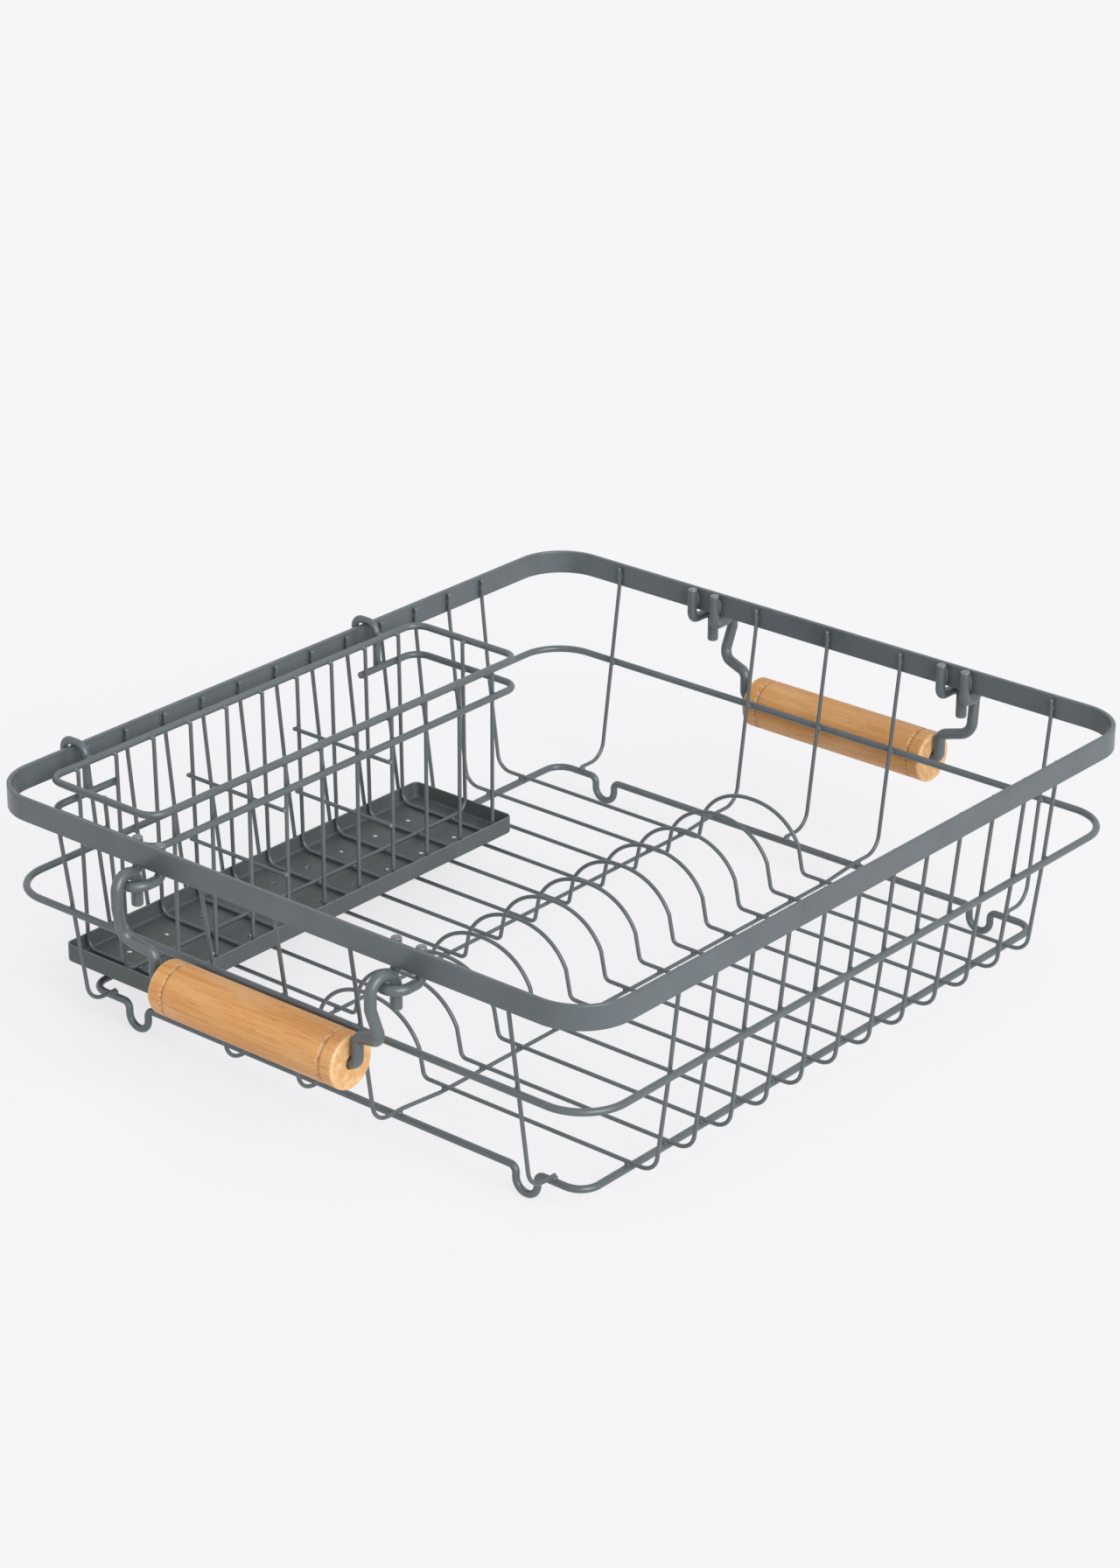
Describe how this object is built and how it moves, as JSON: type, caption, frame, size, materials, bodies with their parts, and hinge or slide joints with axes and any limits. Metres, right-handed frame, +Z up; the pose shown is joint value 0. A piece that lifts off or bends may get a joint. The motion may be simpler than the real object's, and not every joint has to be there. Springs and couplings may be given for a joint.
{
  "type": "dish drainer",
  "caption": "Wire dish drainer with plate arches, a flat-bar rim, swinging wood-grip handles and a lift-off utensil basket with a drip tray.",
  "frame": {"origin": "on the ground, under the middle of the whole object's box; the rack's own middle is 3 mm towards -Y, because the basket's hooks reach out on the +Y side", "axes": "+X along the rack from handle to handle, +Y towards the side the utensil basket hangs on, +Z up"},
  "size_m": [0.412, 0.3364, 0.1138],
  "materials": {
    "coated_wire": "satin powder coat",
    "coated_bar": "satin powder coat",
    "coated_sheet": "matt powder coat",
    "bamboo": "satin lacquered bamboo"
  },
  "bodies": {
    "rack": {"top_rim": "coated_bar", "mid_ring": "coated_wire", "base_ring": "coated_wire", "cross_wire_01": "coated_wire", "cross_wire_02": "coated_wire", "cross_wire_03": "coated_wire", "cross_wire_04": "coated_wire", "cross_wire_05": "coated_wire", "cross_wire_06": "coated_wire", "cross_wire_07": "coated_wire", "cross_wire_08": "coated_wire", "cross_wire_09": "coated_wire", "cross_wire_10": "coated_wire", "cross_wire_11": "coated_wire", "cross_wire_12": "coated_wire", "end_wire_a_1": "coated_wire", "end_wire_a_2": "coated_wire", "end_wire_a_3": "coated_wire", "end_wire_b_1": "coated_wire", "end_wire_b_2": "coated_wire", "end_wire_b_3": "coated_wire", "floor_rail_1": "coated_wire", "floor_rail_2": "coated_wire", "handle_eye_a_1": "coated_wire", "handle_eye_a_2": "coated_wire", "handle_eye_b_1": "coated_wire", "handle_eye_b_2": "coated_wire"},
    "bail_a": {"handle_bail_a": "coated_wire"},
    "grip_a": {"handle_grip_a": "bamboo"},
    "bail_b": {"handle_bail_b": "coated_wire"},
    "grip_b": {"handle_grip_b": "bamboo"},
    "basket": {"basket_top_ring": "coated_wire", "basket_second_ring": "coated_wire", "basket_long_wire": "coated_wire", "basket_hook_left": "coated_wire", "basket_hook_right": "coated_wire", "drip_tray": "coated_sheet", "basket_cross_wire_01": "coated_wire", "basket_cross_wire_02": "coated_wire", "basket_cross_wire_03": "coated_wire", "basket_cross_wire_04": "coated_wire", "basket_cross_wire_05": "coated_wire", "basket_cross_wire_06": "coated_wire", "basket_cross_wire_07": "coated_wire", "basket_cross_wire_08": "coated_wire", "basket_cross_wire_09": "coated_wire", "basket_cross_wire_10": "coated_wire", "divider_wire_1_upper": "coated_wire", "divider_wire_1_lower": "coated_wire", "divider_wire_2_upper": "coated_wire", "divider_wire_2_lower": "coated_wire"}
  },
  "joints": [
    {"name": "handle_a_swing", "type": "hinge", "parent": "rack", "child": "bail_a", "pos_m": [-0.1945, -0.003, 0.09475], "axis": [0, 1, 0], "range_deg": [-3, 175]},
    {"name": "grip_a_spin", "type": "hinge", "parent": "bail_a", "child": "grip_a", "pos_m": [-0.1943, -0.003, 0.05655], "axis": [0, 1, 0], "continuous": true},
    {"name": "handle_b_swing", "type": "hinge", "parent": "rack", "child": "bail_b", "pos_m": [0.1945, -0.003, 0.09475], "axis": [0, -1, 0], "range_deg": [-3, 175]},
    {"name": "grip_b_spin", "type": "hinge", "parent": "bail_b", "child": "grip_b", "pos_m": [0.1943, -0.003, 0.05655], "axis": [0, 1, 0], "continuous": true},
    {"name": "basket_lift", "type": "slide", "parent": "rack", "child": "basket", "axis": [0, 0, 1], "range_m": [0, 0.13]}
  ]
}
